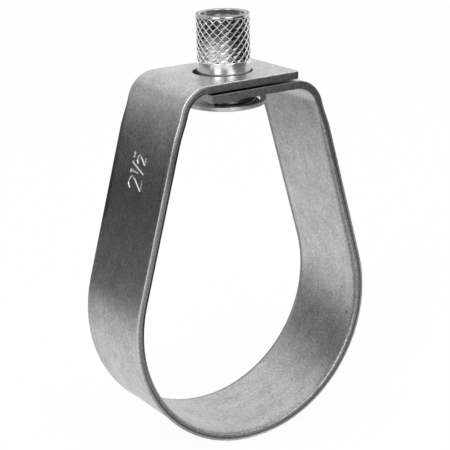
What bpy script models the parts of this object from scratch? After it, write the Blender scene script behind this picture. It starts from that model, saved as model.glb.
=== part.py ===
"""Swivel ring hanger for a 2 1/2 inch pipe: a band bent from one strip of steel, and the knurled nut it hangs on.

All sizes are metres and +Z is up. The origin lies on the nut's axis, at the nut's top face. The pipe that the
band carries runs along Y. The band turns freely about the nut, that is about Z.
"""

import math

import bmesh
import bpy
from mathutils import Matrix

MM = 0.001

# The strip and the ring
PIPE_OD = 73.03 * MM  # outside diameter of the pipe
PIPE_ROOM = 1.29 * MM  # between the pipe and the ring, all round
STRIP_T = 2.4 * MM
STRIP_W = 30.4 * MM
BEND_R = 6.9 * MM  # inside radius of the two upper bends
NUT_ROOM = 29.68 * MM  # from the top of the pipe up to the lower strap
FLAT_RIGHT = 15.4 * MM  # from the nut's axis to the start of the right bend
FLAT_LEFT = 15.2 * MM  # from the nut's axis to the start of the left bend
RING_SHIFT = 1.0 * MM  # the ring's centre lies this far left of the nut's axis
STRAP_GAP = 0.6 * MM  # between the two overlapping straps
LOWER_REACH = 13.9 * MM  # the lower strap ends this far left of the axis
UPPER_REACH = 15.8 * MM  # the upper strap ends this far right of the axis

# The flared and rounded edges of the strip
FLARE_OUT = 0.7 * MM
FLARE_RUN = 2.0 * MM
FLARE_START = 1.0 * MM  # below the bends the flare grows from nothing
FLARE_GROW = 8.0 * MM  # over this length of the leg
FLARE_LEAST = 0.5  # share of the flare that is left at the bottom of the ring
FADE_START = math.radians(40)  # up to this angle from the bottom only that share is left
FADE_TURN = math.radians(63)  # over this angle it grows back to the full flare
BOTTOM_GROW = 0.65 * MM  # the ring is this much larger in radius where no flare is left
CORNER_OUT = 0.3 * MM
CORNER_IN = 0.3 * MM

# The nut
THREAD_OD = 12.7 * MM  # 1/2 inch rod
THREAD_ROOM = 0.05 * MM
NUT_WALL = 1.5 * MM
MOUTH_CHAMFER = 0.3 * MM
NUT_RISE = 16.91 * MM  # the nut stands this far above the upper strap
NUT_LIFT = 1.23 * MM  # free play between the nut's shoulder and the lower strap
SHOULDER_OVER = 0.25 * MM  # the shoulder is this much larger in radius than the holes
SHOULDER_H = 2.61 * MM
SHOULDER_BEVEL = 0.75 * MM
FLANGE_STEP = 1.15 * MM  # the flange stands out this far from the shoulder
FLANGE_H = 0.85 * MM
FOOT_STEP = 0.2 * MM  # the foot below the flange is this much smaller in radius than the shoulder
EDGE = 0.2 * MM

# The diamond knurl
RIM_H = 0.7 * MM  # smooth rim above the knurl
KNURL_H = 13.1 * MM
DIAMONDS = 20  # round the nut
KNURL_ROWS = 11  # half diamonds, one above the other
RIDGE_W = 0.26 * MM
KNURL_DEPTH = 0.3 * MM
KNURL_SLOPE = 0.28 * MM  # width of the sloping side of each ridge

# The holes and the retaining cup
HOLE_ROOM = 0.33 * MM  # between nut and hole, where they are nearest
HOLE_SHIFT = 0.62 * MM  # the holes' centre lies this far left of the nut's axis
HOLE_CHAMFER = 0.2 * MM
CUP_ROOM = 0.35 * MM  # between flange and cup
CUP_T = 1.6 * MM
CUP_DROP = 0.6 * MM  # the cup ends this far below the top of the flange
SILL_RISE = 0.75 * MM  # the windows begin this far above the top of the flange
EAR_HALF_W = 6.9 * MM  # the windows leave two ears of twice this width
EAR_ROOT = 0.8 * MM  # fillet between ear and strap
LIP_IN = 0.55 * MM  # two lips reach this far in under the flange
LIP_T = 0.35 * MM
LIP_HALF_W = 3.5 * MM

SIDES = 4 * DIAMONDS  # flat facets round each turned surface
RING_STEPS = 44
BEND_STEPS = 10


def clear_scene():
    for old in list(bpy.data.objects):
        bpy.data.objects.remove(old, do_unlink=True)


def metal(name, colour, roughness):
    made = bpy.data.materials.new(name)
    made.use_nodes = True
    shader = made.node_tree.nodes["Principled BSDF"]
    shader.inputs["Base Color"].default_value = (*colour, 1.0)
    shader.inputs["Roughness"].default_value = roughness
    shader.inputs["Metallic"].default_value = 1.0
    made.diffuse_color = (*colour, 1.0)
    return made


def object_from(bm, name, material=None):
    """Closes the bmesh, turns its faces outward and makes an object of it, with its origin on the nut's axis."""
    bmesh.ops.remove_doubles(bm, verts=bm.verts, dist=0.0005 * MM)
    bmesh.ops.recalc_face_normals(bm, faces=bm.faces)
    if bm.calc_volume(signed=True) < 0:
        bmesh.ops.reverse_faces(bm, faces=bm.faces)
    mesh = bpy.data.meshes.new(name)
    bm.to_mesh(mesh)
    bm.free()
    made = bpy.data.objects.new(name, mesh)
    bpy.context.scene.collection.objects.link(made)
    if material:
        mesh.materials.append(material)
    return made


def helper(obj):
    obj.hide_render = True
    obj.display_type = "WIRE"
    return obj


def boolean(obj, operation, other):
    modifier = obj.modifiers.new(other.name, "BOOLEAN")
    modifier.operation = operation
    modifier.solver = "EXACT"
    modifier.object = other


def turned(bm, profile, closed=False, steps=SIDES):
    """Spins a profile, given as (radius, height) pairs, once round Z."""
    verts = [bm.verts.new((r, 0.0, z)) for r, z in profile]
    pairs = list(zip(verts, verts[1:]))
    if closed:
        pairs.append((verts[-1], verts[0]))
    edges = [bm.edges.new(pair) for pair in pairs]
    bmesh.ops.spin(
        bm,
        geom=verts + edges,
        cent=(0, 0, 0),
        axis=(0, 0, 1),
        angle=2 * math.pi,
        steps=steps,
        use_merge=True,
    )


# Heights, all measured from the nut's top face
upper_top = -NUT_RISE
upper_under = upper_top - STRIP_T
lower_top = upper_under - STRAP_GAP
lower_under = lower_top - STRIP_T
ring_z = lower_under - NUT_ROOM - PIPE_OD / 2
shoulder_top = lower_under - NUT_LIFT
flange_top = shoulder_top - SHOULDER_H
foot_z = flange_top - FLANGE_H
cup_low = flange_top - CUP_DROP
sill_z = flange_top + SILL_RISE
ring_r = PIPE_OD / 2 + PIPE_ROOM
mid_r = ring_r + STRIP_T / 2
bend_mid = BEND_R + STRIP_T / 2
bore_r = THREAD_OD / 2 + THREAD_ROOM
nut_r = bore_r + NUT_WALL
hole_r = nut_r + HOLE_SHIFT + HOLE_ROOM
shoulder_r = hole_r + SHOULDER_OVER
flange_r = shoulder_r + FLANGE_STEP
foot_r = shoulder_r - FOOT_STEP
cup_inner = flange_r + CUP_ROOM
cup_outer = cup_inner + CUP_T


def lean(bend_x, bend_z):
    """The angle by which a leg leans in, so that it is tangent to both the ring and the bend of its side."""
    across = abs(bend_x + RING_SHIFT)
    up = bend_z - ring_z
    return math.atan2(up, across) - math.acos((mid_r - bend_mid) / math.hypot(up, across))


# The middle of the strip, followed from the free end of the lower strap round the ring to the upper one
def band_stations():
    """Gives (x, z, angle of the outward normal, share of the full flare) along the strip."""
    right_z = lower_under - BEND_R
    left_z = upper_under - BEND_R
    right_lean = lean(FLAT_RIGHT, right_z)
    left_lean = lean(-FLAT_LEFT, left_z)
    found = [(-LOWER_REACH, lower_under + STRIP_T / 2, math.pi / 2, 0.0)]

    def on(x, z, radius, angle):
        return (x + radius * math.cos(angle), z + radius * math.sin(angle))

    def bend(x, z, first, last):
        for i in range(BEND_STEPS + 1):
            a = first + (last - first) * i / BEND_STEPS
            found.append((*on(x, z, bend_mid, a), a, 0.0))

    def leg(top, ring, angle, downward):
        """Adds the stations over which the flare grows."""
        length = math.dist(top, ring)
        runs = [FLARE_START + FLARE_GROW * i / 4 for i in range(5)]
        for run in runs if downward else reversed(runs):
            share = (run - FLARE_START) / FLARE_GROW
            grown = share * share * (3 - 2 * share)
            x, z = (t + (r - t) * run / length for t, r in zip(top, ring))
            found.append((x, z, angle, grown))

    left_angle = -math.pi - left_lean
    bend(FLAT_RIGHT, right_z, math.pi / 2, right_lean)
    leg(
        on(FLAT_RIGHT, right_z, bend_mid, right_lean),
        on(-RING_SHIFT, ring_z, mid_r, right_lean),
        right_lean,
        True,
    )
    for i in range(RING_STEPS + 1):
        a = right_lean + (left_angle - right_lean) * i / RING_STEPS
        up = min(max((abs(a + math.pi / 2) - FADE_START) / FADE_TURN, 0.0), 1.0)
        share = FLARE_LEAST + (1 - FLARE_LEAST) * up * up * (3 - 2 * up)
        found.append((*on(-RING_SHIFT, ring_z, mid_r + (1 - share) * BOTTOM_GROW, a), a, share))
    leg(
        on(-FLAT_LEFT, left_z, bend_mid, left_angle),
        on(-RING_SHIFT, ring_z, mid_r, left_angle),
        left_angle,
        False,
    )
    bend(-FLAT_LEFT, left_z, left_angle, -1.5 * math.pi)
    found.append((UPPER_REACH, upper_under + STRIP_T / 2, -1.5 * math.pi, 0.0))
    return found


def strip_section(flare):
    """The strip's outline across its width, as (y, height above its middle), with rounded and flared edges."""
    half = STRIP_W / 2
    side = [(half - FLARE_RUN, STRIP_T / 2), (half - FLARE_RUN / 2, STRIP_T / 2)]
    for radius, sign, steps in ((CORNER_OUT, 1, 3), (CORNER_IN, -1, 2)):
        turns = [math.pi / 2 * i / steps for i in range(steps + 1)]
        for a in turns if sign > 0 else reversed(turns):
            y = half - radius + radius * math.sin(a)
            side.append((y, sign * (STRIP_T / 2 - radius + radius * math.cos(a))))
    side += [(half - FLARE_RUN / 2, -STRIP_T / 2), (half - FLARE_RUN, -STRIP_T / 2)]
    raised = []
    for y, n in side:
        share = max((y - half + FLARE_RUN) / FLARE_RUN, 0.0)
        raised.append((y, n + flare * FLARE_OUT * share**1.6))
    return raised + [(-y, n) for y, n in reversed(raised)]


def build_band(material):
    bm = bmesh.new()
    loops = []
    for x, z, angle, flare in band_stations():
        out = (math.cos(angle), math.sin(angle))
        section = strip_section(flare)
        loops.append([bm.verts.new((x + n * out[0], y, z + n * out[1])) for y, n in section])
    for near, far in zip(loops, loops[1:]):
        for i in range(len(near)):
            bm.faces.new((near[i - 1], near[i], far[i], far[i - 1]))
    bm.faces.new(loops[0])
    bm.faces.new(reversed(loops[-1]))
    band = object_from(bm, "ring_band", material)
    boolean(band, "DIFFERENCE", hole_cutter())
    boolean(band, "UNION", retaining_cup())
    boolean(band, "UNION", retaining_lips())
    return band


def hole_cutter():
    """A pin as wide as the holes, with a small collar at each face of a strap that breaks the hole's edge."""
    bm = bmesh.new()
    past = STRIP_T
    wide = hole_r + HOLE_CHAMFER
    profile = [(0.0, upper_top + past), (wide, upper_top + past)]
    for top, under, above, below in (
        (upper_top, upper_under, past, STRAP_GAP / 2),
        (lower_top, lower_under, STRAP_GAP / 2, past),
    ):
        profile += [
            (wide, top),
            (hole_r, top - HOLE_CHAMFER),
            (hole_r, under + HOLE_CHAMFER),
            (wide, under),
        ]
    profile += [(wide, lower_under - past), (0.0, lower_under - past)]
    turned(bm, profile)
    bmesh.ops.translate(bm, verts=bm.verts, vec=(-HOLE_SHIFT, 0, 0))
    return helper(object_from(bm, "hole_cutter"))


def block(name, low, high, also=()):
    """A box from low to high, or several in one object."""
    bm = bmesh.new()
    for lows, highs in ((low, high), *also):
        size = [h - l for l, h in zip(lows, highs)]
        middle = [(l + h) / 2 for l, h in zip(lows, highs)]
        bmesh.ops.create_cube(bm, size=1.0, matrix=Matrix.Translation(middle) @ Matrix.Diagonal((*size, 1)))
    return helper(object_from(bm, name))


def retaining_cup():
    """A round wall drawn down from the lower strap round the flange. A window in front and one behind leave a
    low ring all round and two ears that join it to the strap."""
    top = lower_under + STRIP_T / 2
    corner = CUP_T / 3
    profile = [(cup_inner, top), (cup_inner, cup_low + EDGE), (cup_inner + EDGE, cup_low)]
    for i in range(4):
        a = math.pi / 2 * i / 3
        profile.append((cup_outer - corner * (1 - math.sin(a)), cup_low + corner * (1 - math.cos(a))))
    profile += [(cup_outer, sill_z - EDGE), (cup_outer, sill_z + EDGE)]
    for i in range(4):
        a = math.pi / 2 * i / 3
        drop = EAR_ROOT * (1 - math.sin(a))
        profile.append((cup_outer + EAR_ROOT * (1 - math.cos(a)), lower_under - drop))
    profile.append((cup_outer + EAR_ROOT, top))
    bm = bmesh.new()
    turned(bm, profile, closed=True, steps=SIDES - 12)
    cup = helper(object_from(bm, "cup"))

    past = 2 * cup_outer
    front = ((-past, -past, sill_z), (past, -EAR_HALF_W, top + STRIP_T))
    behind = ((-past, EAR_HALF_W, sill_z), (past, past, top + STRIP_T))
    boolean(cup, "DIFFERENCE", block("windows", *front, also=[behind]))
    return cup


def retaining_lips():
    """Two short lips, in front and behind, bent in from the foot of the cup so that they carry the flange."""
    tip = flange_r - LIP_IN
    slope = (FLANGE_H - EDGE / 2) / (flange_r - foot_r)
    lip_top = flange_top - EDGE / 2 - LIP_IN * slope - CUP_ROOM * math.hypot(1, slope)
    low = lip_top - LIP_T
    inside = cup_inner + CUP_T / 3
    profile = [
        (tip, lip_top),
        (tip, low),
        (tip + EDGE, low),
        (inside, cup_low + EDGE / 2),
        (inside, cup_low + 2 * EDGE),
        (cup_inner, cup_low + EDGE),
    ]
    bm = bmesh.new()
    turned(bm, profile, closed=True, steps=SIDES - 12)
    lips = helper(object_from(bm, "lips"))
    past = 2 * cup_outer
    boolean(lips, "INTERSECT", block("lip_width", (-LIP_HALF_W, -past, 2 * foot_z), (LIP_HALF_W, past, 0.0)))
    return lips


def knurl(bm, radius, top):
    """A band of raised crossing ridges with a sunken diamond in every cell, closed into the turned surfaces
    above and below it by four points to each diamond."""
    row_h = KNURL_H / KNURL_ROWS

    def at(turn, row):
        a = 2 * math.pi * turn / DIAMONDS
        return bm.verts.new((radius * math.cos(a), radius * math.sin(a), top - KNURL_H + row * row_h))

    cells = []
    for row in range(KNURL_ROWS + 1):
        shift = 0.5 * ((row + 1) % 2)
        for i in range(DIAMONDS):
            mid = i + shift
            corners = []
            if row == 0:
                corners = [at(mid + q / 4, 0) for q in (-2, -1, 0, 1, 2)]
            else:
                corners = [at(mid - 0.5, row), at(mid, row - 1), at(mid + 0.5, row)]
            if row == KNURL_ROWS:
                corners += [at(mid + q / 4, row) for q in (1, 0, -1)]
            else:
                corners.append(at(mid, row + 1))
            cells.append(bm.faces.new(corners))
    bmesh.ops.remove_doubles(bm, verts=bm.verts, dist=0.0005 * MM)
    cells = [face for face in cells if face.is_valid]
    bmesh.ops.recalc_face_normals(bm, faces=bm.faces)
    bmesh.ops.inset_individual(bm, faces=cells, thickness=RIDGE_W / 2)
    bmesh.ops.inset_individual(bm, faces=cells, thickness=KNURL_SLOPE, depth=-KNURL_DEPTH)


def build_nut(material):
    bm = bmesh.new()
    mouth = bore_r + MOUTH_CHAMFER
    knurl_top = -RIM_H
    profile = [
        (nut_r, knurl_top),
        (nut_r, -EDGE),
        (nut_r - EDGE, 0.0),
        (mouth, 0.0),
        (bore_r, -MOUTH_CHAMFER),
        (bore_r, foot_z + MOUTH_CHAMFER),
        (mouth, foot_z),
        (foot_r - EDGE / 2, foot_z),
        (foot_r, foot_z + EDGE / 2),
        (flange_r, flange_top - EDGE / 2),
        (flange_r - EDGE / 2, flange_top),
        (shoulder_r, flange_top),
        (shoulder_r, shoulder_top - SHOULDER_BEVEL),
        (nut_r, shoulder_top),
        (nut_r, knurl_top - KNURL_H),
    ]
    turned(bm, profile)
    knurl(bm, nut_r, knurl_top)
    return object_from(bm, "swivel_nut", material)


clear_scene()
pieces = [
    build_band(metal("band_zinc", (0.60, 0.61, 0.62), 0.34)),
    build_nut(metal("nut_zinc", (0.66, 0.67, 0.68), 0.26)),
]
for piece in pieces:
    piece.data.shade_smooth()
    piece.data.set_sharp_from_angle(angle=math.radians(28))
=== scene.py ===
# %% [markdown]
# # A swivel ring hanger, dressed for its photograph
# A swivel ring hanger carries a sprinkler or water pipe below a ceiling. One strip of zinc-coated steel
# is bent into a pear-shaped ring, its two ends overlap at the top, and a knurled nut that turns freely
# in them screws on to a threaded rod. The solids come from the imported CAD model, in metres, with the
# nut's axis on Z. This lesson gives them their finish, engraves the size number, cuts the thread and
# lights the set.

# %% Load the frame
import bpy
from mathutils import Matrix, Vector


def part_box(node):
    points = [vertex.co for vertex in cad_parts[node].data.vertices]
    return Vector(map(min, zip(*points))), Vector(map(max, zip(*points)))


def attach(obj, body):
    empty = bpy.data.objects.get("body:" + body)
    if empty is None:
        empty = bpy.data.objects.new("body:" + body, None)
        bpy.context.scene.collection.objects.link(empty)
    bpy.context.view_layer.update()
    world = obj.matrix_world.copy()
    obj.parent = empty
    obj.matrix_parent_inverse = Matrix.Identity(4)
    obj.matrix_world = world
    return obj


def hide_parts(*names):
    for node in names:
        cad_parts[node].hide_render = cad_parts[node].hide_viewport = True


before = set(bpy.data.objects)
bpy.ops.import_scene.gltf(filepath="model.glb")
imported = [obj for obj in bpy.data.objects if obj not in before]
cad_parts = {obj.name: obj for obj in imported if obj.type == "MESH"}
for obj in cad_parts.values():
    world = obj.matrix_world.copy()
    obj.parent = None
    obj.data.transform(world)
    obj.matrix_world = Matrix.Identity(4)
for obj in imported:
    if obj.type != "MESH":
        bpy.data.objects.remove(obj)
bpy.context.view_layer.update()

print("nodes in the frame:", sorted(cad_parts))

# %% [markdown]
# ## Helpers for every step
# Blender's operators act on all that is selected, and loading the frame leaves its nodes selected. Each
# step could select its piece by hand. A few helpers do it the same way every time, so that no step
# changes another piece by accident.

# %% Open the toolbox
import math

import bmesh
import bpy
from mathutils import Matrix, Vector

MM = 0.001


def deselect():
    """Leaves nothing selected, so that a new primitive stands alone."""
    bpy.ops.object.select_all(action="DESELECT")


def take(piece):
    """Makes one piece the only one that operators act on."""
    deselect()
    piece.select_set(True)
    bpy.context.view_layer.objects.active = piece


def open_up(piece):
    """Goes into edit mode with the whole of a piece selected."""
    take(piece)
    bpy.ops.object.mode_set(mode="EDIT")
    bpy.ops.mesh.select_all(action="SELECT")


def close_up():
    """Leaves edit mode."""
    bpy.ops.object.mode_set(mode="OBJECT")


def apply_last(piece):
    """Makes a piece's last modifier part of its mesh."""
    bpy.ops.object.modifier_apply(modifier=piece.modifiers[-1].name)


# %% [markdown]
# ## The camera
# The photograph was taken with a long lens from the front left, a little above the hanger, and with the
# camera held about two degrees off level. The lens and place below were found by laying the strip's
# edges and the nut's rim over the photograph.

# %% Place the camera
CAMERA_AT = Vector((-213.41, -333.62, 65.88)) * MM
LOOK_ALONG = Vector((0.5095, 0.8014, -0.3132))
CAMERA_ROLL = math.radians(1.73)
LENS = 109.74
SENSOR = 36.0
SEES_FROM = 0.01  # metres
SEES_TO = 50.0

camera_data = bpy.data.cameras.new("photo_camera")
camera_data.lens = LENS
camera_data.sensor_width = SENSOR
camera_data.clip_start = SEES_FROM
camera_data.clip_end = SEES_TO
camera = bpy.data.objects.new("photo_camera", camera_data)
bpy.context.scene.collection.objects.link(camera)
aim = LOOK_ALONG.to_track_quat("-Z", "Y").to_matrix().to_4x4()
camera.matrix_world = Matrix.Translation(CAMERA_AT) @ aim @ Matrix.Rotation(-CAMERA_ROLL, 4, "Z")
bpy.context.scene.camera = camera
bpy.context.scene.view_settings.view_transform = "Standard"
print("camera is", round(CAMERA_AT.length / MM), "mm from the nut's mouth")

# %% [markdown]
# ## One skin for each solid
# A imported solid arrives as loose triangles, so light breaks at each of them and no tool can cut it
# cleanly. The solid itself must stay as it is. A copy of it is merged into one closed skin instead, and
# stands for the solid from here on.

# %% Merge a copy of each solid
MERGE = 0.0005 * MM


def survey(piece):
    """Prints a mesh's faces, its edges without two faces, and its volume, below zero if it is inside out."""
    mesh = bmesh.new()
    mesh.from_mesh(piece.data)
    gaps = sum(len(edge.link_faces) != 2 for edge in mesh.edges)
    volume = mesh.calc_volume(signed=True) / MM**3
    print(piece.name, "has", len(mesh.faces), "faces,", gaps, "open edges and", round(volume), "mm3")
    mesh.free()


def merged_copy(node, name):
    """A copy of a CAD node as one closed skin, under a name of its own."""
    copy = bpy.data.objects.new(name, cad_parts[node].data.copy())
    bpy.context.scene.collection.objects.link(copy)
    take(copy)
    bpy.ops.mesh.customdata_custom_splitnormals_clear()
    open_up(copy)
    bpy.ops.mesh.remove_doubles(threshold=MERGE)
    close_up()
    survey(copy)
    return copy


band = merged_copy("ring_band", "zinc_band")
nut = merged_copy("swivel_nut", "knurled_nut")

# %% [markdown]
# ## Where the stamp goes
# The strip carries its pipe size, two and a half inches, stamped into the left leg so that it reads
# from the bottom up. The leg leans, and its place could be copied from the CAD source as numbers.
# Reading it from the mesh keeps the stamp on the steel even if the ring changes: the largest face that
# looks left is the leg.

# %% Find the leg's outer face
LOOKS_LEFT = -0.8  # the most that the normal's X may be
SAME_PLANE = 0.9999  # the least cosine between two normals of one flat face
CLEAR_OF_FLARE = 13 * MM

left_faces = [
    side
    for side in band.data.polygons
    if side.normal.x < LOOKS_LEFT and abs(side.center.y) < CLEAR_OF_FLARE
]
leg_out = max(left_faces, key=lambda side: side.area).normal.copy()
flat_faces = [side for side in left_faces if side.normal.dot(leg_out) > SAME_PLANE]
leg_corners = [band.data.vertices[i].co for side in flat_faces for i in side.vertices]
highest = max(leg_corners, key=lambda corner: corner.z)
leg_top = Vector((highest.x, 0.0, highest.z))
across_leg = Vector((0.0, 1.0, 0.0))
leg_up = across_leg.cross(leg_out).normalized()
print("the left leg leans", round(math.degrees(math.asin(leg_out.z)), 1), "degrees")

# %% [markdown]
# ## The strokes of the stamp
# A steel stamp leaves a rounded groove. Letters made from a font would have flat, sharp walls, so each
# stroke is drawn as a round wire along a path: the curved part of the 2 is a smooth curve, and all else
# is straight.

# %% Draw the strokes
WIRE_R = 0.42 * MM
WIRE_SIDES = 3  # the resolution of the wire's round
CURVE_ORDER = 3

TWO = [
    (0.0, 0.80), (0.12, 0.95), (0.42, 1.0), (0.8, 0.93),
    (0.97, 0.76), (0.82, 0.55), (0.4, 0.28), (0.06, 0.05),
]
FOOT = [(0.0, 0.02), (1.0, 0.0)]
FLAG = [(-0.6, 0.84), (0.0, 1.0)]
STEM = [(0.0, 1.0), (0.0, 0.0)]
SLASH = [(0.0, 0.0), (1.0, 1.0)]


def stroke(points, low, size):
    """A round wire through points, given as shares of a box with its low corner and its size in mm."""
    curve = bpy.data.curves.new("stroke", "CURVE")
    curve.dimensions = "3D"
    curve.bevel_depth = WIRE_R
    curve.bevel_resolution = WIRE_SIDES
    curve.use_fill_caps = True
    spline = curve.splines.new("NURBS" if len(points) > 2 else "POLY")
    spline.points.add(len(points) - 1)
    for spot, (across, up) in zip(spline.points, points):
        spot.co = ((low[0] + across * size[0]) * MM, (low[1] + up * size[1]) * MM, 0.0, 1.0)
    if len(points) > 2:
        spline.order_u = CURVE_ORDER
        spline.use_endpoint_u = True
    made = bpy.data.objects.new("stroke", curve)
    bpy.context.scene.collection.objects.link(made)
    take(made)
    bpy.ops.object.convert(target="MESH")
    return bpy.context.object


# Each box is measured along the leg, down from the bend, and across the strip
strokes = [
    stroke(TWO, (-25.2, -2.0), (3.4, 7.3)),
    stroke(FOOT, (-25.2, -2.0), (3.4, 7.3)),
    stroke(STEM, (-20.2, 1.0), (1.0, 4.6)),
    stroke(FLAG, (-20.2, 1.0), (1.0, 4.6)),
    stroke(SLASH, (-20.1, -1.9), (2.4, 7.3)),
    stroke(TWO, (-17.6, -1.8), (2.3, 4.6)),
    stroke(FOOT, (-17.6, -1.8), (2.3, 4.6)),
    stroke(SLASH, (-15.3, 4.3), (0.4, 1.0)),
    stroke(SLASH, (-16.2, 4.5), (0.3, 0.7)),
]
print("drew", len(strokes), "strokes")

# %% [markdown]
# ## The engraving
# The wires are laid partly into the surface and taken out of the strip. Cut one after the other,
# crossing strokes would leave slivers and open edges. So they are joined first, and one Boolean, which
# is told that they cross each other, cuts them all. What slivers remain are merged away, and the open
# edges are counted.

# %% Engrave the strip
WIRE_SUNK = 0.26 * MM  # how deep the groove goes
SLIVER = 0.005 * MM

facing = Matrix((leg_up, across_leg, leg_out)).transposed().to_4x4()
lay_on_leg = Matrix.Translation(leg_top + leg_out * (WIRE_R - WIRE_SUNK)) @ facing
deselect()
for wire in strokes:
    wire.data.transform(lay_on_leg)
    wire.select_set(True)
bpy.context.view_layer.objects.active = strokes[0]
bpy.ops.object.join()
stamp = bpy.context.object

take(band)
bpy.ops.object.modifier_add(type="BOOLEAN")
engraving = band.modifiers[-1]
engraving.operation = "DIFFERENCE"
engraving.solver = "EXACT"
engraving.use_self = True
engraving.object = stamp
apply_last(band)
bpy.data.objects.remove(stamp)

open_up(band)
bpy.ops.mesh.remove_doubles(threshold=SLIVER)
bpy.ops.mesh.dissolve_degenerate(threshold=SLIVER)
close_up()
survey(band)

# %% [markdown]
# ## Which way is in
# A strip is sheared from a wide sheet. The shear leaves a burnished band next to the outer face, then a
# dark torn band, then a paler one. Coordinates alone can't say where such a band lies, because the
# strip bends round. So each corner of the skin is told how deep it lies: 0 on the outer face, 1 on the
# inner face, and the cut face between them shades from one to the other.

# %% Measure the depth
RING_MIDDLE = Vector((-1.0, 0.0, -88.5)) * MM
STRAP_ENDS = -21.5 * MM
ENDS_LOOK_SIDEWAYS = 0.95
CUTS_LOOK_ACROSS = 0.99

depth = band.data.attributes.new("depth", "FLOAT", "POINT")
for side in band.data.polygons:
    strap_end = abs(side.normal.x) > ENDS_LOOK_SIDEWAYS and side.center.z > STRAP_ENDS
    if abs(side.normal.y) < CUTS_LOOK_ACROSS and not strap_end:
        outwards = side.center - RING_MIDDLE
        outwards.y = 0.0
        inner = side.normal.dot(outwards) < 0
        for i in side.vertices:
            depth.data[i].value = float(inner)
print("inner corners:", sum(d.value > 0.5 for d in depth.data), "of", len(depth.data))

# %% [markdown]
# ## Smooth bends and flat faces
# The bends and the ring are made of narrow flat faces, which would each catch the light. Smooth shading
# joins them wherever they meet at a shallow angle. On its own it would also tint the big flat faces, so
# weighted normals give those the last word.

# %% Smooth the skins
SMOOTH_BELOW = math.radians(50)


def smooth(piece):
    take(piece)
    bpy.ops.object.shade_smooth_by_angle(angle=SMOOTH_BELOW)
    bpy.ops.object.modifier_add(type="WEIGHTED_NORMAL")
    piece.modifiers[-1].keep_sharp = True
    apply_last(piece)
    print("smoothed", piece.name)


smooth(band)
smooth(nut)

# %% [markdown]
# ## The thread in the nut
# The nut takes a half-inch rod with 13 threads to the inch. A bump in the finish would not show in the
# mouth, where the thread is seen from the side, so it is a real helix. One tooth is drawn as a plane,
# narrowed towards the axis and left as an outline, which a Screw modifier winds round Z.

# %% Draw one tooth
THREAD_PITCH = 25.4 / 13 * MM
THREAD_ROOT_R = 6.43 * MM
THREAD_CREST_R = 5.3 * MM
TOOTH_WIDE = 0.86  # its root's width, as a share of the pitch
TOOTH_TIP = 0.3  # its crest's width, as a share of the root's

nut_low, nut_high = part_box("swivel_nut")
tooth_x = (THREAD_ROOT_R + THREAD_CREST_R) / 2
tooth_z = nut_low.z - 1.5 * THREAD_PITCH

deselect()
bpy.ops.mesh.primitive_plane_add(size=1.0)
thread = bpy.context.object
thread.name = "rod_thread"
thread.scale = (THREAD_ROOT_R - THREAD_CREST_R, TOOTH_WIDE * THREAD_PITCH, 1.0)
thread.rotation_euler = (math.pi / 2, 0.0, 0.0)
thread.location = (tooth_x, 0.0, tooth_z)
bpy.ops.object.transform_apply(location=True, rotation=True, scale=True)
for corner in thread.data.vertices:
    if corner.co.x < tooth_x:
        corner.co.z = tooth_z + (corner.co.z - tooth_z) * TOOTH_TIP
open_up(thread)
bpy.ops.mesh.delete(type="ONLY_FACE")
close_up()
print("one tooth is", round(TOOTH_WIDE * THREAD_PITCH / MM, 2), "mm wide at its root")

# %% Wind it
THREAD_STEPS = 64  # per turn

nut_height = nut_high.z - nut_low.z
bpy.ops.object.modifier_add(type="SCREW")
winding = thread.modifiers[-1]
winding.axis = "Z"
winding.steps = THREAD_STEPS
winding.render_steps = THREAD_STEPS
winding.iterations = math.ceil(nut_height / THREAD_PITCH) + 3
winding.screw_offset = THREAD_PITCH
print("the thread has", winding.iterations, "turns before trimming")
apply_last(thread)

# %% [markdown]
# The helix sticks out of the nut at both ends. Bisect cuts it off a little inside both mouths and
# closes it there, as a tap leaves the first turn set back from the mouth. Faces are turned outwards
# again after that, and the few loose edges that the cuts leave are deleted last.

# %% Trim it
THREAD_TOP = 1.6 * MM  # the first turn starts this far below the mouth
THREAD_FOOT = 0.3 * MM
THREAD_MERGE = 0.001 * MM


def trim(piece, height, above):
    """Cuts off what lies above a height, or below it, and closes the cut."""
    open_up(piece)
    bpy.ops.mesh.bisect(
        plane_co=(0.0, 0.0, height),
        plane_no=(0.0, 0.0, 1.0),
        use_fill=True,
        clear_outer=above,
        clear_inner=not above,
    )
    close_up()


trim(thread, nut_high.z - THREAD_TOP, above=True)
trim(thread, nut_low.z + THREAD_FOOT, above=False)
open_up(thread)
bpy.ops.mesh.remove_doubles(threshold=THREAD_MERGE)
bpy.ops.mesh.normals_make_consistent(inside=False)
bpy.ops.mesh.delete_loose()
close_up()
smooth(thread)
survey(thread)

# %% [markdown]
# ## A small node kit
# Bare zinc-coated steel has no colour of its own. What shows is how it breaks up reflections, and that
# takes many small nodes. Placed one by one they would hide the recipe, so a kit adds and joins them in
# one word each. All patterns are read from Object coordinates, so they stay with the metal when the
# band turns.

NOISE_LOW = 0.3  # a noise hardly leaves this range
NOISE_HIGH = 0.7
RANGE_SOCKETS = ("From Min", "From Max", "To Min", "To Max")


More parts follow.
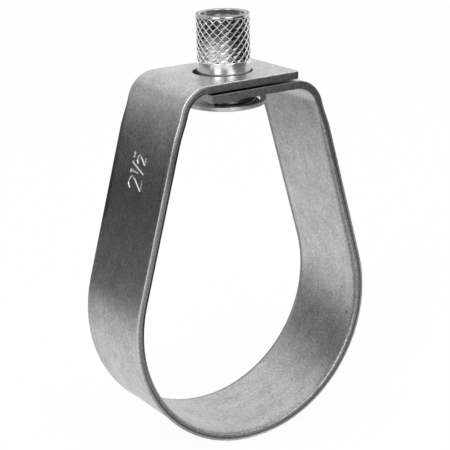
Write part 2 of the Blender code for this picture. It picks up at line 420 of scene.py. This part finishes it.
class Recipe:
    """One material's node tree, with a short way to add and join nodes."""

    def __init__(self, name):
        self.material = bpy.data.materials.new(name)
        self.material.use_nodes = True
        self.tree = self.material.node_tree
        self.shader = self.tree.nodes["Principled BSDF"]
        self.place = self.add("TexCoord").outputs["Object"]
        parts = self.add("SeparateXYZ")
        self.link(self.place, parts.inputs["Vector"])
        self.along = parts.outputs

    def add(self, kind, **settings):
        node = self.tree.nodes.new("ShaderNode" + kind)
        for key, value in settings.items():
            setattr(node, key, value)
        return node

    def link(self, output, target):
        self.tree.links.new(output, target)

    def fill(self, socket, value):
        """Gives a socket a number, or another node's output."""
        if isinstance(value, (int, float)):
            socket.default_value = value
        else:
            self.link(value, socket)

    def noise(self, scale, detail=3.0, roughness=0.55):
        """Noise whose patches are 1 / scale metres long on each axis."""
        mapping = self.add("Mapping")
        mapping.inputs["Scale"].default_value = scale
        self.link(self.place, mapping.inputs["Vector"])
        made = self.add("TexNoise")
        made.inputs["Scale"].default_value = 1.0
        made.inputs["Detail"].default_value = detail
        made.inputs["Roughness"].default_value = roughness
        self.link(mapping.outputs["Vector"], made.inputs["Vector"])
        return made.outputs["Fac"]

    def measure(self, operation, vector):
        """DISTANCE to a point, or DOT_PRODUCT with a direction, at each place."""
        made = self.add("VectorMath", operation=operation)
        self.link(self.place, made.inputs[0])
        made.inputs[1].default_value = vector
        return made.outputs["Value"]

    def spread(self, value, low, high, to_low, to_high, kind="LINEAR"):
        """Stretches the part of a value between low and high, and clamps the rest."""
        made = self.add("MapRange", interpolation_type=kind)
        self.link(value, made.inputs["Value"])
        for socket, number in zip(RANGE_SOCKETS, (low, high, to_low, to_high)):
            made.inputs[socket].default_value = number
        return made.outputs["Result"]

    def within(self, value, low, high, soft):
        """1 where a value lies between low and high, with soft ends."""
        rise = self.spread(value, low, low + soft, 0.0, 1.0)
        fall = self.spread(value, high - soft, high, 1.0, 0.0)
        return self.times(rise, fall)

    def maths(self, operation, first, second=0.0):
        made = self.add("Math", operation=operation)
        self.fill(made.inputs[0], first)
        self.fill(made.inputs[1], second)
        return made.outputs["Value"]

    def plus(self, first, *more):
        for value in more:
            first = self.maths("ADD", first, value)
        return first

    def times(self, first, *more):
        for value in more:
            first = self.maths("MULTIPLY", first, value)
        return first

    def off_axis(self):
        """How far each place lies from the Z axis."""
        x, y = self.along["X"], self.along["Y"]
        return self.maths("SQRT", self.plus(self.times(x, x), self.times(y, y)))

    def blend(self, share, first, second):
        """Mixes two colours; each is a grey number or another node's colour."""
        made = self.add("Mix", data_type="RGBA")
        self.link(share, made.inputs["Factor"])
        for socket, value in zip((made.inputs[6], made.inputs[7]), (first, second)):
            if isinstance(value, (int, float)):
                socket.default_value = (value, value, value, 1.0)
            else:
                self.link(value, socket)
        return made.outputs[2]

    def ramp(self, value, stops):
        """Greys along a value from 0 to 1: each stop is (value, grey)."""
        made = self.add("ValToRGB")
        slots = made.color_ramp.elements
        for spot, grey in stops[1:-1]:
            slots.new(spot)
        for slot, (spot, grey) in zip(slots, stops):
            slot.color = (grey, grey, grey, 1.0)
        self.link(value, made.inputs["Fac"])
        return made.outputs["Color"]

    def bump(self, height, distance, strength, under=None):
        """A relief from a height, laid over another relief if there is one."""
        made = self.add("Bump")
        made.inputs["Distance"].default_value = distance
        made.inputs["Strength"].default_value = strength
        self.link(height, made.inputs["Height"])
        if under:
            self.link(under, made.inputs["Normal"])
        return made.outputs["Normal"]

    def as_metal(self, tone, rough):
        """Bare metal of a tone and a roughness."""
        self.shader.inputs["Metallic"].default_value = 1.0
        self.link(tone, self.shader.inputs["Base Color"])
        self.link(rough, self.shader.inputs["Roughness"])
        print(self.material.name, "has", len(self.tree.nodes), "nodes")

    def show(self, surface):
        """Puts another surface in the place of the usual shader."""
        self.tree.nodes.remove(self.shader)
        self.link(surface, self.tree.nodes["Material Output"].inputs["Surface"])


# %% [markdown]
# ## The band's broad faces
# Three patterns lie over each other on the strip: fine streaks along it from the rolling mill, a soft
# mottle from the zinc bath, and the small crystals of the zinc. Dark specks and one pit lie on top,
# with painted glints and a painted highlight on the flat top. A scanned picture would slide at the bends,
# so each pattern is a noise of its own size on each axis.

# %% Mix the zinc of the broad faces
STREAKS = (90.0, 1500.0, 90.0)
MOTTLE = (150.0, 190.0, 150.0)
GRAIN = (1500.0, 1700.0, 1500.0)
STREAK_SHARE = 0.16
MOTTLE_SHARE = 0.26
GRAIN_SHARE = 0.58
MIX_LOW = 0.38  # the mixed noise hardly leaves this range
MIX_HIGH = 0.62
BAND_LIGHT = 0.66
BAND_DARK = 0.31

zinc = Recipe("band_zinc_dressed")
x, y, z = (zinc.along[axis] for axis in "XYZ")
streaks = zinc.noise(STREAKS, detail=5.0, roughness=0.7)
mottle = zinc.noise(MOTTLE, detail=5.0, roughness=0.65)
grain = zinc.noise(GRAIN, detail=3.0, roughness=0.75)
mixed = zinc.plus(
    zinc.times(streaks, STREAK_SHARE),
    zinc.times(mottle, MOTTLE_SHARE),
    zinc.times(grain, GRAIN_SHARE),
)
face = zinc.ramp(zinc.spread(mixed, MIX_LOW, MIX_HIGH, 0.0, 1.0), [(0.0, BAND_DARK), (1.0, BAND_LIGHT)])
print("the crystals are about", round(1 / GRAIN[0] / MM, 1), "mm across")

# %% Add specks, the pit, painted glints and a painted highlight on the top
SPECKS = (700.0, 900.0, 700.0)
SPECK_PEAKS = (0.66, 0.74)  # only the peaks of the noise show as specks
SPECK_TONE = 0.6
# painted glints: small painted highlights at random places on the strip
PAINTED_GLINTS = (900.0, 1400.0, 900.0)
PAINTED_GLINT_PEAKS = (0.62, 0.74)
PAINTED_GLINT_TONE = 1.35
PIT_AT = Vector((35.6, -12.0, -98.0)) * MM
PIT_R = 0.25 * MM
PIT_RIM_R = 0.55 * MM
PIT_TONE = 0.25
# painted highlight: the flat top is painted brighter than the rest
TOP_FROM = -18.5 * MM
TOP_TO = -16.95 * MM
TOP_HIGHLIGHT = 1.14  # the flat top is brighter than the rest

specks = zinc.spread(zinc.noise(SPECKS, detail=2.0, roughness=0.5), *SPECK_PEAKS, 1.0, SPECK_TONE)
painted_glints = zinc.spread(zinc.noise(PAINTED_GLINTS, detail=2.0), *PAINTED_GLINT_PEAKS, 1.0, PAINTED_GLINT_TONE)
pit = zinc.spread(zinc.measure("DISTANCE", PIT_AT), PIT_R, PIT_RIM_R, PIT_TONE, 1.0)
top_highlight = zinc.spread(z, TOP_FROM, TOP_TO, 1.0, TOP_HIGHLIGHT)
face = zinc.times(face, specks, painted_glints, pit, top_highlight)
print("the broad faces take", len(zinc.tree.nodes), "nodes")

# %% [markdown]
# ## The dark line along the far edge
# A dark line of painted shade runs along the strip's far edge, painted by the distance to the edge. It
# is widest on the inner face, and narrower on the flat top and on the outside of the ring.

# %% Paint the shade along the far edge
STRIP_HALF_W = 15.2 * MM
# painted shade: the tone of the dark line along the far edge
EDGE_SHADE_TONE = 0.36
EDGE_SHADE_STARTS = 2.0 * MM  # from the edge
EDGE_SHADE_FULL = 0.9 * MM
EDGE_SHADE_INSIDE = 0.95 * MM  # the line is this much wider on the inner face
EDGE_SHADE_AT_FOOT = -0.2 * MM  # but not at the foot of the ring
EDGE_SHADE_NARROWER = 1.6 * MM  # and this much narrower on the ring's outer face and the flat top
RING_FOOT = (-108 * MM, -82 * MM)  # heights between which one rule gives way to the next
RING_SIDES = (-66 * MM, -56 * MM)
BENDS = (-30 * MM, -20 * MM)

through = zinc.add("Attribute", attribute_name="depth").outputs["Fac"]
outer = zinc.maths("SUBTRACT", 1.0, through)
narrower_below = zinc.spread(z, *RING_SIDES, EDGE_SHADE_NARROWER, 0.0)
narrower_above = zinc.spread(z, *BENDS, 0.0, EDGE_SHADE_NARROWER)
narrowed = zinc.times(outer, zinc.plus(narrower_below, narrower_above))
wider = zinc.times(through, zinc.spread(z, *RING_FOOT, EDGE_SHADE_AT_FOOT, EDGE_SHADE_INSIDE))
to_edge = zinc.maths("SUBTRACT", zinc.plus(y, wider), narrowed)
edge_shade = zinc.spread(to_edge, STRIP_HALF_W - EDGE_SHADE_STARTS, STRIP_HALF_W - EDGE_SHADE_FULL, 1.0, EDGE_SHADE_TONE)
face = zinc.times(face, edge_shade)
print("the burr starts", round(EDGE_SHADE_STARTS / MM, 1), "mm from the far edge")

# %% [markdown]
# ## The foot of the cup
# The drawn cup that holds the nut is worn at its foot, where the nut's flange turns on it, and a painted
# highlight makes the foot brighter than the strip. The solid has the foot already, so a lighter tone within
# the cup's radius and at that height is enough.

# %% Paint a highlight on the cup's foot
CUP_R = 13.0 * MM
CUP_FOOT = -25.1 * MM
CUP_HIGHLIGHT_REACH = 3 * MM  # how far the painted highlight reaches below that
CUP_SOFT = 0.5 * MM  # how gently it ends
CUP_HIGHLIGHT = 2.1

on_cup = zinc.spread(zinc.off_axis(), CUP_R, CUP_R + CUP_SOFT, 1.0, 0.0)
at_foot = zinc.within(z, CUP_FOOT - CUP_HIGHLIGHT_REACH, CUP_FOOT, soft=0.4 * MM)
face = zinc.times(face, zinc.spread(zinc.times(on_cup, at_foot), 0.0, 1.0, 1.0, CUP_HIGHLIGHT))
print("the cup's foot is", CUP_HIGHLIGHT, "times as bright as the strip")

# %% [markdown]
# ## The cut faces
# The sheared edge shows bands through the strip, and each part of the hanger turns them to the light in
# its own way: the ring, the bend, the leg and the straps. Real steps that fine would need a very dense
# mesh. So each part has a row of tones from its outer face to its inner face, with the light and shade
# that this part catches painted into them, and the rows blend into each other.

# %% List the tones
RING_CUT = [
    (0.0, 0.60), (0.24, 0.56), (0.33, 0.19), (0.58, 0.18), (0.68, 0.40),
    (0.80, 0.42), (0.87, 0.20), (0.94, 0.42), (1.0, 0.62),
]
BEND_CUT = [(0.0, 1.0), (0.26, 0.92), (0.38, 0.40), (0.76, 0.34), (0.88, 0.08), (1.0, 0.06)]
LEG_CUT = [(0.0, 0.80), (0.12, 0.48), (0.30, 0.30), (0.76, 0.27), (0.88, 0.05), (1.0, 0.04)]
LOW_LEG = 1.45  # painted light: how much lighter the leg's cut face is in its lower half
STRAP_CUT = [(0.0, 0.34), (0.3, 0.31), (0.8, 0.28), (1.0, 0.22)]
print("rows of tones:", [len(row) for row in (RING_CUT, BEND_CUT, LEG_CUT, STRAP_CUT)])

# %% Blend them round the strip
RAGGED = 0.25  # how far the bands wander, as a share of the thickness
LEG_TO_STRAP = (-20 * MM, -13 * MM)  # places between which one row gives way to the next, here in x
RING_TO_LEG = (-105 * MM, -85 * MM)  # and here in z
LOW_TO_HIGH_LEG = (-46 * MM, -40 * MM)
LEG_TO_BEND = (-36 * MM, -30 * MM)
BEND_TO_STRAP = (-30 * MM, -23 * MM)

ragged = zinc.times(zinc.maths("SUBTRACT", grain, 0.5), RAGGED)
through = zinc.plus(through, ragged)
on_leg = zinc.times(zinc.spread(x, *LEG_TO_STRAP, 1.0, 0.0), zinc.spread(z, *RING_TO_LEG, 0.0, 1.0))
on_strap = zinc.times(zinc.spread(x, *LEG_TO_STRAP, 0.0, 1.0), zinc.spread(z, *BEND_TO_STRAP, 0.0, 1.0))
on_bend = zinc.spread(z, *LEG_TO_BEND, 0.0, 1.0)
low_leg = zinc.spread(z, *LOW_TO_HIGH_LEG, LOW_LEG, 1.0)
leg_tone = zinc.times(zinc.ramp(through, LEG_CUT), low_leg)
leg_tone = zinc.blend(on_bend, leg_tone, zinc.ramp(through, BEND_CUT))
cut_tone = zinc.blend(on_leg, zinc.ramp(through, RING_CUT), leg_tone)
cut_tone = zinc.blend(on_strap, cut_tone, zinc.ramp(through, STRAP_CUT))
print("the bands wander by", RAGGED, "of the strip's thickness")

# %% Lay them on the cut faces
UPPER_TOP = -16.91 * MM
UPPER_EDGE_HIGHLIGHT = 0.85  # a painted highlight along the upper strap's top edge
UPPER_HIGHLIGHT_LOW = 0.42 * MM  # below the strap's top
UPPER_HIGHLIGHT_HIGH = 0.2 * MM
FAR_SIDE = (10 * MM, 14 * MM)
FAR_TONE = 0.45  # the far cut face is in the shade
TORN_RANGE = (0.35, 0.65)  # the torn metal shows the grain more strongly
TORN_DARK = 0.7
TORN_LIGHT = 1.3
CUT_STARTS = 0.35 * MM  # from the strip's edge
CUT_FULL = 0.1 * MM

upper_edge_highlight = zinc.spread(z, UPPER_TOP - UPPER_HIGHLIGHT_LOW, UPPER_TOP - UPPER_HIGHLIGHT_HIGH, 0.0, 1.0)
cut_tone = zinc.blend(upper_edge_highlight, cut_tone, UPPER_EDGE_HIGHLIGHT)
far_side = zinc.spread(y, *FAR_SIDE, 1.0, FAR_TONE)
cut_tone = zinc.times(cut_tone, zinc.spread(grain, *TORN_RANGE, TORN_DARK, TORN_LIGHT), far_side)
off_middle = zinc.maths("ABSOLUTE", y)
cut = zinc.spread(off_middle, STRIP_HALF_W - CUT_STARTS, STRIP_HALF_W - CUT_FULL, 0.0, 1.0)
face = zinc.blend(cut, face, cut_tone)
print("with the cut faces it takes", len(zinc.tree.nodes), "nodes")

# %% [markdown]
# ## Inside the stamp, and between the straps
# The stamp presses the zinc smooth, and its grooves are painted brighter than the face around them, a
# painted highlight. The two straps lie on each other, and no light gets between them. The shape has both
# places already, and each is found by its depth and height: the grooves lie below the skin of the leg,
# and the gap at one height between the straps.

# %% Paint the grooves and the gap
# painted highlight in the stamp's grooves
STAMP_HIGHLIGHT = 0.95
GROOVE_DEEP = 0.6 * MM
GROOVE_STARTS = 0.02 * MM  # below the leg's skin
STAMP_LOW = 27 * MM  # below the top of the leg
STAMP_HIGH = 13 * MM
STAMP_SIDES = (10 * MM, 10.5 * MM)
GAP_TONE = 0.06
GAP_LOW = -20.0 * MM
GAP_HIGH = -19.25 * MM
GAP_REACH = (15.0 * MM, 15.4 * MM)  # how far from the nut's axis it can be seen
GAP_EDGE = 0.3 * MM  # the gap is left its own tone nearer to the strip's edge

skin = leg_top.dot(leg_out)
outwards_along_leg = zinc.measure("DOT_PRODUCT", leg_out)
groove = zinc.times(
    zinc.within(outwards_along_leg, skin - GROOVE_DEEP, skin - GROOVE_STARTS, soft=0.03 * MM),
    zinc.within(z, leg_top.z - STAMP_LOW, leg_top.z - STAMP_HIGH, soft=0.1 * MM),
    zinc.spread(off_middle, *STAMP_SIDES, 1.0, 0.0),
)
face = zinc.blend(groove, face, STAMP_HIGHLIGHT)
gap = zinc.times(
    zinc.within(z, GAP_LOW, GAP_HIGH, soft=0.04 * MM),
    zinc.spread(zinc.maths("ABSOLUTE", x), *GAP_REACH, 1.0, 0.0),
    zinc.spread(off_middle, STRIP_HALF_W - GAP_EDGE, STRIP_HALF_W, 1.0, 0.0),
)
face = zinc.blend(gap, face, GAP_TONE)
print("the leg's skin lies", round(skin / MM, 2), "mm out from the nut's axis")

# %% Finish the band
BAND_SMOOTH = 0.30
BAND_ROUGH = 0.42
CUT_ROUGHER = 0.08
GROOVE_SMOOTHER = 0.12
STREAK_RELIEF = (0.02 * MM, 0.3)  # how high it stands, and how strongly it shows
GRAIN_RELIEF = (0.04 * MM, 0.55)

rough = zinc.spread(grain, NOISE_LOW, NOISE_HIGH, BAND_SMOOTH, BAND_ROUGH)
rough = zinc.plus(rough, zinc.times(cut, CUT_ROUGHER))
rough = zinc.maths("SUBTRACT", rough, zinc.times(groove, GROOVE_SMOOTHER))
rolled = zinc.bump(streaks, *STREAK_RELIEF)
zinc.link(zinc.bump(grain, *GRAIN_RELIEF, under=rolled), zinc.shader.inputs["Normal"])
zinc.as_metal(face, rough)

# %% [markdown]
# ## The nut's finish
# The nut is turned and knurled, so it is smoother and brighter than the strip. Painted shade darkens the
# pockets between the diamonds, except for a painted highlight at the lower left, and the part below the
# straps is in the dark. The diamonds are real ridges, so a pocket is any place that lies below their
# crests.

# %% Mix the nut's zinc
NUT_R = 7.9 * MM
POCKET_DEEP = 0.22 * MM
POCKET_STARTS = 0.08 * MM
WALL_INNER = 0.9 * MM  # what lies further in is the bore, and no pocket
WALL_OUTER = 0.8 * MM
NUT_BRIGHT = 0.92
NUT_POCKET_SHADE = 0.05
NUT_MOTTLE = (420.0, 420.0, 420.0)
POCKET_SHADE_FULL = 0.6  # where the mottle is higher, a pocket's painted shade is full
POCKET_SHADE_THIN = 0.75
# a painted highlight at the lower left lifts the pockets' painted shade
NUT_HIGHLIGHT_AT = Vector((-6.6, -4.3, -13.5)) * MM
NUT_HIGHLIGHT_R = 3.5 * MM
NUT_HIGHLIGHT_RIM_R = 8.5 * MM
NUT_HIGHLIGHT_SHADE_LEFT = 0.1

nut_zinc = Recipe("nut_zinc_dressed")
from_axis = nut_zinc.off_axis()
sunk = nut_zinc.spread(from_axis, NUT_R - POCKET_DEEP, NUT_R - POCKET_STARTS, 1.0, 0.0)
outside_bore = nut_zinc.spread(from_axis, NUT_R - WALL_INNER, NUT_R - WALL_OUTER, 0.0, 1.0)
nut_mottle = nut_zinc.noise(NUT_MOTTLE)
nut_highlight = nut_zinc.measure("DISTANCE", NUT_HIGHLIGHT_AT)
painted_shade = nut_zinc.times(
    sunk,
    outside_bore,
    nut_zinc.spread(nut_mottle, NOISE_LOW, POCKET_SHADE_FULL, POCKET_SHADE_THIN, 1.0),
    nut_zinc.spread(nut_highlight, NUT_HIGHLIGHT_R, NUT_HIGHLIGHT_RIM_R, NUT_HIGHLIGHT_SHADE_LEFT, 1.0),
)
nut_tone = nut_zinc.blend(painted_shade, NUT_BRIGHT, NUT_POCKET_SHADE)
print("grime fills pockets deeper than", round(POCKET_STARTS / MM, 2), "mm")

# %% Finish the nut
RIM_FROM = -0.9 * MM
RIM_TO = -0.5 * MM
RIM_SHADE = 0.6
BELOW_STRAPS = (-23.0 * MM, -22.6 * MM)
NUT_TUCKED = 0.14
NUT_SMOOTH = 0.16
NUT_ROUGH = 0.26
TURNING = (300.0, 300.0, 5200.0)
TURNING_RELIEF = (0.01 * MM, 0.3)

height = nut_zinc.along["Z"]
nut_tone = nut_zinc.times(nut_tone, nut_zinc.spread(height, RIM_FROM, RIM_TO, 1.0, RIM_SHADE))
tucked = nut_zinc.spread(height, *BELOW_STRAPS, 1.0, 0.0)
nut_tone = nut_zinc.blend(tucked, nut_tone, NUT_TUCKED)
turned = nut_zinc.bump(nut_zinc.noise(TURNING, detail=2.0), *TURNING_RELIEF)
nut_zinc.link(turned, nut_zinc.shader.inputs["Normal"])
nut_zinc.as_metal(nut_tone, nut_zinc.spread(nut_mottle, NOISE_LOW, NOISE_HIGH, NUT_SMOOTH, NUT_ROUGH))

# %% [markdown]
# ## The thread's finish
# The thread is darker than the nut's outside, with less zinc and some oil on it. It is seen only
# through the mouth, in the shade, where a soft mottle between two dark tones is all that shows.

# %% Finish the thread
THREAD_LIGHT = 0.30
THREAD_DARK = 0.21
THREAD_SMOOTH = 0.30
THREAD_ROUGH = 0.45
THREAD_MOTTLE = (500.0, 500.0, 900.0)

steel = Recipe("thread_steel_dressed")
oil = steel.noise(THREAD_MOTTLE)
steel_tone = steel.blend(steel.spread(oil, NOISE_LOW, NOISE_HIGH, 0.0, 1.0), THREAD_DARK, THREAD_LIGHT)
steel.as_metal(steel_tone, steel.spread(oil, NOISE_LOW, NOISE_HIGH, THREAD_SMOOTH, THREAD_ROUGH))

# %% [markdown]
# ## Putting it together
# The real hanger has two parts that move apart from each other: the band swivels round the nut. So the
# band's skin rides on the band's body, and the nut's skin and its thread on the nut's. Both skins
# replace the plain solids.

# %% Dress the pieces
for piece, recipe, body, slot in (
    (band, zinc, "band", "band_zinc"),
    (nut, nut_zinc, "nut", "nut_zinc"),
    (thread, steel, "nut", "nut_zinc"),
):
    piece.data.materials.clear()
    piece.data.materials.append(recipe.material)
    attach(piece, body)
    print(piece.name, "rides on", body)
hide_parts("ring_band")
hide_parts("swivel_nut")

# %% [markdown]
# ## The floor
# The photograph shows the hanger cut out on pure white, with no shadow to speak of. A bright lamp on a
# white floor would bleach the metal too. So the floor glows white where the camera, or the metal, looks
# at it, and keeps a share of real shading so that the hanger still casts its soft shadow.

# %% Lay the floor
FLOOR_R = 4.0
FLOOR_GAP = 0.1 * MM
FLOOR_WHITE = (0.9, 0.9, 0.9, 1.0)
FLOOR_GLOW = 0.93
ROUND = 96  # corners of a large circle

floor_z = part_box("ring_band")[0].z - FLOOR_GAP

deselect()
bpy.ops.mesh.primitive_circle_add(vertices=ROUND, radius=FLOOR_R, fill_type="NGON")
floor = bpy.context.object
floor.name = "floor"
floor.location.z = floor_z

white = Recipe("white_floor")
rays = white.add("LightPath").outputs
seen = white.maths("MAXIMUM", rays["Is Camera Ray"], rays["Is Glossy Ray"])
seen = white.maths("MAXIMUM", seen, rays["Is Transmission Ray"])
lit = white.add("BsdfDiffuse")
lit.inputs["Color"].default_value = FLOOR_WHITE
glowing = white.add("Emission")
mix = white.add("MixShader")
white.link(white.times(seen, FLOOR_GLOW), mix.inputs["Fac"])
white.link(lit.outputs["BSDF"], mix.inputs[1])
white.link(glowing.outputs["Emission"], mix.inputs[2])
white.show(mix.outputs["Shader"])
floor.data.materials.append(white.material)
print("the floor lies at", round(floor_z / MM, 1), "mm")

# %% [markdown]
# ## Plain light from all round
# A photograph for a catalogue is taken in a tent of white cloth. A plain white world gives the same
# even light and keeps every colour as it is written.

# %% Fill the air with plain light
world = bpy.data.worlds.new("studio")
bpy.context.scene.world = world
world.use_nodes = True
sky = world.node_tree.nodes["Background"]
sky.inputs["Color"].default_value = (1.0, 1.0, 1.0, 1.0)
sky.inputs["Strength"].default_value = 1.0
print("the world's strength is", sky.inputs["Strength"].default_value)

# %% [markdown]
# ## Cards for the reflections
# Polished metal shows its surroundings, so a studio sets cards round it to give it shape. Each flat
# part of the hanger mirrors one place, and a card with the right tones stands there: behind on the left
# for the left leg, further behind for the inside of the ring, low in front for the cut edges of the
# ring, and in front on the right for those of the straps. Only reflections see any of them.

# %% Cut the cards
def paper(name, shades):
    """Glowing paper. A shade is (axis, start, end, glow at start, glow at end); the brightest counts."""
    recipe = Recipe(name)
    glow = 0.0
    for axis, start, end, at_start, at_end in shades:
        shade = recipe.spread(recipe.along[axis], start, end, at_start, at_end, kind="SMOOTHSTEP")
        glow = recipe.maths("MAXIMUM", glow, shade)
    light = recipe.add("Emission")
    recipe.link(glow, light.inputs["Strength"])
    recipe.show(light.outputs["Emission"])
    return recipe.material


def reflect_only(card, material):
    """Gives a card its paper and hides it from all but reflections."""
    card.data.materials.append(material)
    card.visible_camera = False
    card.visible_diffuse = False
    card.visible_shadow = False
    card.visible_transmission = False
    print("set up", card.name)


def flat_card(name, corners, shades):
    """A flat card through four corners, given in millimetres."""
    deselect()
    bpy.ops.mesh.primitive_plane_add(size=1.0)
    card = bpy.context.object
    card.name = name
    for spot, corner in zip(card.data.vertices, corners):
        spot.co = Vector(corner) * MM
    reflect_only(card, paper(name + "_paper", shades))


# %% Stand the cards
foot = floor_z / MM

flat_card(
    "leg_card",
    [(-130, 5, foot), (-42, 64, foot), (-130, 5, 40), (-42, 64, 40)],
    [
        ("Z", -0.030, -0.018, 0.066, 0.61),
        ("Z", 0.002, 0.055, 0.0, 1.0),
        ("Z", -0.074, -0.036, 0.155, 0.0),
        ("Z", -0.120, -0.065, 0.98, 0.0),
    ],
)
flat_card(
    "far_card",
    [(-120, 79, foot), (-30, 146, foot), (-120, 79, 70), (-30, 146, 70)],
    [("Z", -0.056, -0.028, 0.045, 0.39), ("Z", -0.014, 0.066, 0.0, 1.0), ("X", -0.051, -0.032, 0.0, 1.0)],
)
flat_card(
    "low_front_card",
    [(-150, -16.5, foot), (190, -16.5, foot), (-150, -111, -62), (190, -111, -62)],
    [("Z", -0.13, -0.06, 0.45, 0.45)],
)
flat_card(
    "right_card",
    [(0, -130, -78), (140, -35, -78), (0, -130, -18), (140, -35, -18)],
    [("Z", -0.07, -0.02, 0.12, 0.12)],
)

# %% [markdown]
# ## A curtain round the front
# Without something dark in front, every edge that faces the camera would turn white. A curtain is a
# part of a cylinder: a ring of corners, from which the back is deleted, pulled up from the floor.

# %% Hang the curtain
CURTAIN_R = 0.9
CURTAIN_TOP = 0.75
CURTAIN_FROM = math.radians(150)
CURTAIN_TO = math.radians(345)
CURTAIN_SHADE = ("Z", 0.1, CURTAIN_TOP, 0.10, 0.4)

deselect()
bpy.ops.mesh.primitive_circle_add(vertices=ROUND, radius=CURTAIN_R)
curtain = bpy.context.object
curtain.name = "curtain"
open_up(curtain)
bpy.ops.mesh.select_mode(type="VERT")
bpy.ops.mesh.select_all(action="DESELECT")
close_up()
for spot in curtain.data.vertices:
    turn = math.atan2(spot.co.y, spot.co.x) % math.tau
    spot.select = not CURTAIN_FROM <= turn <= CURTAIN_TO
bpy.ops.object.mode_set(mode="EDIT")
bpy.ops.mesh.delete(type="VERT")
bpy.ops.mesh.select_all(action="SELECT")
bpy.ops.transform.translate(value=(0, 0, floor_z))
bpy.ops.mesh.extrude_region_move(TRANSFORM_OT_translate={"value": (0, 0, CURTAIN_TOP - floor_z)})
close_up()
reflect_only(curtain, paper("curtain_cloth", [CURTAIN_SHADE]))

# %% [markdown]
# ## Two soft lamps
# The world and the cards alone leave the nut dull. Two square lamps, one on each side of the camera and
# above it, put the highlights on its ridges. They are large and weak, so that the strip doesn't burn
# out.

# %% Hang the soft lamps
LAMP_WATTS = 1.3
LAMP_AWAY = 0.75
LAMP_SIZE = 0.32


def softbox(name, turn, rise):
    """A square lamp at a turn round Z and a rise above level, both in degrees."""
    lamp = bpy.data.lights.new(name, "AREA")
    lamp.shape = "SQUARE"
    lamp.size = LAMP_SIZE
    lamp.energy = LAMP_WATTS
    held = bpy.data.objects.new(name, lamp)
    t, r = math.radians(turn), math.radians(rise)
    towards = Vector((math.cos(t) * math.cos(r), math.sin(t) * math.cos(r), math.sin(r)))
    held.location = towards * LAMP_AWAY
    held.rotation_mode = "QUATERNION"
    held.rotation_quaternion = towards.to_track_quat("Z", "Y")
    bpy.context.scene.collection.objects.link(held)
    print(name, "gives", LAMP_WATTS, "watts")


softbox("left_lamp", turn=209, rise=22)
softbox("right_lamp", turn=266, rise=25)
